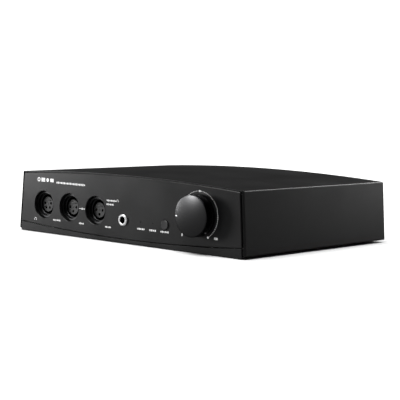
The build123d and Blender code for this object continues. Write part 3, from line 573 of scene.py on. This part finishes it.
def makeKeys():
    for insert in ("xlr4_insert", "left_xlr_insert", "right_xlr_insert"):
        low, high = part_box(insert)
        proud = keyForm["proud"] * mm
        at = Vector(((low.x + high.x) / 2, low.y - proud / 2, (low.z + high.z) / 2 + keyForm["up"] * mm))
        shape = Matrix.Diagonal((keyForm["width"] * mm, proud, keyForm["height"] * mm, 1))
        bm = bmesh.new()
        bmesh.ops.create_cube(bm, size=1.0, matrix=Matrix.Translation(at) @ shape)
        bmesh.ops.bevel(
            bm, geom=bm.edges[:], offset=keyForm["bevel"] * mm, offset_type="OFFSET", segments=2,
            profile=0.5, affect="EDGES", material=-1,
        )
        centre = Vector((at.x, low.y - proud / 4, at.z - keyForm["up"] * mm))
        pip = keyForm["pip"] * mm
        bmesh.ops.create_cone(
            bm, cap_ends=True, segments=20, radius1=pip, radius2=pip * keyForm["taper"], depth=proud / 2,
            matrix=Matrix.Translation(centre) @ Matrix.Rotation(math.radians(90), 4, "X"),
        )
        obj = meshObject(insert + "_key", bm)
        finishPiece(obj, "chassis", materials["insert_plastic"])


makeKeys()
print("inserts keyed")

# plain marks on the rear plate: a frame round each group of sockets and a stroke under it
rearForm = {"line": 0.7, "margin": 2.6, "corner": 2.0, "stroke": 9.0, "strokeHeight": 1.0, "drop": 2.0}


def makeRearMark(name, node):
    low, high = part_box(node)
    margin, line, thick = rearForm["margin"] * mm, rearForm["line"] * mm, printForm["thickness"] * mm
    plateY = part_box("rear_panel")[1].y
    bm = bmesh.new()
    width, height = high.x - low.x + 2 * margin, high.z - low.z + 2 * margin
    place = Matrix.Translation(((low.x + high.x) / 2, plateY + thick / 2, (low.z + high.z) / 2))
    grid = bmesh.ops.create_grid(
        bm, x_segments=1, y_segments=1, size=0.5,
        matrix=place @ Matrix.Rotation(math.radians(90), 4, "X") @ Matrix.Diagonal((width, height, 1, 1)),
    )
    bmesh.ops.bevel(
        bm, geom=grid["verts"], offset=rearForm["corner"] * mm, offset_type="OFFSET", segments=4,
        profile=0.5, affect="VERTICES", material=-1,
    )
    inside = bmesh.ops.inset_region(
        bm, faces=bm.faces[:], thickness=line, use_even_offset=True, use_boundary=True
    )
    ring = set(inside["faces"])
    bmesh.ops.delete(bm, geom=[f for f in bm.faces if f not in ring], context="FACES")
    bmesh.ops.solidify(bm, geom=bm.faces[:], thickness=thick)
    strokeZ = low.z - rearForm["drop"] * mm - margin
    under = Matrix.Translation((place.translation.x, plateY + thick / 2, strokeZ))
    stroke = Matrix.Diagonal((rearForm["stroke"] * mm, thick, rearForm["strokeHeight"] * mm, 1))
    bmesh.ops.create_cube(bm, size=1.0, matrix=under @ stroke)
    printPiece(name, bm)


makeRearMark("rearMark_phono", "phono_sleeves")
makeRearMark("rearMark_balanced", "rear_xlr_shells")
print("rear marked")

# studio
studio = {
    "cameraSide": 0.823, "cameraAhead": 0.837, "cameraHeight": 0.142, "yaw": 41.1, "pitch": 4.9, "roll": 1.5,
    "lens": 115.55, "sensor": 36.0,
    "sunStrength": 4.4, "sunSpread": 60.0, "sunTilt": 12.0, "sunTurn": -35.0,
    "air": 0.024, "backdrop": 1.3, "floorTone": 0.88, "floorCloud": 900, "paintedFloorReflection": 0.14,
    "floorSize": 40.0, "aimHeight": 0.03,
}
softboxes = {  # place, size and power of each lamp; all face the object
    "leftBox": {"place": (-1.51, -0.87, 0.22), "size": (0.45, 0.40), "power": 17.0},
    "sideBox": {"place": (0.34, 0.46, 0.15), "size": (0.2, 0.25), "power": 0.22},
    "rearBox": {"place": (0.05, 1.8, 1.1), "size": (0.9, 0.7), "power": 13.0},
    "knobBox": {"place": (-0.94, -1.31, 0.32), "size": (0.16, 0.16), "power": 7.0},
}


def makeCamera():
    data = bpy.data.cameras.new("camera")
    data.lens = studio["lens"]
    data.sensor_width = studio["sensor"]
    data.clip_end = 100
    cam = bpy.data.objects.new("camera", data)
    scene.collection.objects.link(cam)
    place = Vector((studio["cameraSide"], panelY - studio["cameraAhead"], lowZ + studio["cameraHeight"]))
    turn = (
        Matrix.Rotation(math.radians(studio["yaw"]), 4, "Z")
        @ Matrix.Rotation(math.radians(90 - studio["pitch"]), 4, "X")
        @ Matrix.Rotation(math.radians(studio["roll"]), 4, "Z")
    )
    cam.matrix_world = Matrix.Translation(place) @ turn
    scene.camera = cam


def makeFloor():  # pale paper, painted dimmer where the object's glossy faces mirror it: a painted reflection
    bm = bmesh.new()
    bmesh.ops.create_grid(bm, x_segments=4, y_segments=4, size=studio["floorSize"] / 2)
    floor = meshObject("floor", bm)
    mat, tree, shader, coords = newFinish("floorPaper")
    tone = studio["floorTone"]
    cloud = noiseNode(tree, coords, studio["floorCloud"])
    paper = mixedColour(tree, cloud, [tone] * 3, [tone + 0.02] * 3)
    # painted reflection: glossy rays see a fixed dim grey in place of the paper
    rays = tree.nodes.new("ShaderNodeLightPath")
    seen = coverColour(tree, rays.outputs["Is Glossy Ray"], paper, [studio["paintedFloorReflection"]] * 3)
    tree.links.new(seen, shader.inputs["Base Color"])
    shader.inputs["Roughness"].default_value = 0.9
    shader.inputs["Specular IOR Level"].default_value = 0.1
    floor.data.materials.append(mat)


def makeLights():
    sun = bpy.data.lights.new("mainLight", "SUN")
    sun.energy = studio["sunStrength"]
    sun.angle = math.radians(studio["sunSpread"])
    lamp = bpy.data.objects.new("mainLight", sun)
    swing = Matrix.Rotation(math.radians(studio["sunTurn"]), 4, "Z")
    lamp.matrix_world = swing @ Matrix.Rotation(math.radians(studio["sunTilt"]), 4, "X")
    scene.collection.objects.link(lamp)
    knobOnly = bpy.data.collections.new("knobOnly")
    for piece in ("knobTurned", "knobPointer"):
        knobOnly.objects.link(bpy.data.objects[piece])
    for name, box in softboxes.items():
        light = bpy.data.lights.new(name, "AREA")
        light.shape = "RECTANGLE"
        light.size, light.size_y = box["size"]
        light.energy = box["power"]
        lamp = bpy.data.objects.new(name, light)
        place = Vector(box["place"])
        aim = (Vector((0, 0, studio["aimHeight"])) - place).to_track_quat("-Z", "Y").to_matrix().to_4x4()
        lamp.matrix_world = Matrix.Translation(place) @ aim
        lamp.visible_camera = False
        if name == "knobBox":  # shielded from everything but the knob
            lamp.light_linking.receiver_collection = knobOnly
        scene.collection.objects.link(lamp)


def makeAir():  # dim surroundings, bright backdrop behind the object
    world = bpy.data.worlds.new("air")
    world.use_nodes = True
    tree = world.node_tree
    tree.nodes.clear()
    air = tree.nodes.new("ShaderNodeBackground")
    air.inputs["Color"].default_value = (1, 1, 1, 1)
    air.inputs["Strength"].default_value = studio["air"]
    backdrop = tree.nodes.new("ShaderNodeBackground")
    backdrop.inputs["Color"].default_value = (1, 1, 1, 1)
    backdrop.inputs["Strength"].default_value = studio["backdrop"]
    rays = tree.nodes.new("ShaderNodeLightPath")
    mix = tree.nodes.new("ShaderNodeMixShader")
    out = tree.nodes.new("ShaderNodeOutputWorld")
    tree.links.new(rays.outputs["Is Camera Ray"], mix.inputs[0])
    tree.links.new(air.outputs[0], mix.inputs[1])
    tree.links.new(backdrop.outputs[0], mix.inputs[2])
    tree.links.new(mix.outputs[0], out.inputs["Surface"])
    scene.world = world


makeCamera()
makeFloor()
makeLights()
makeAir()
scene.view_settings.view_transform = "Standard"
print("studio set")
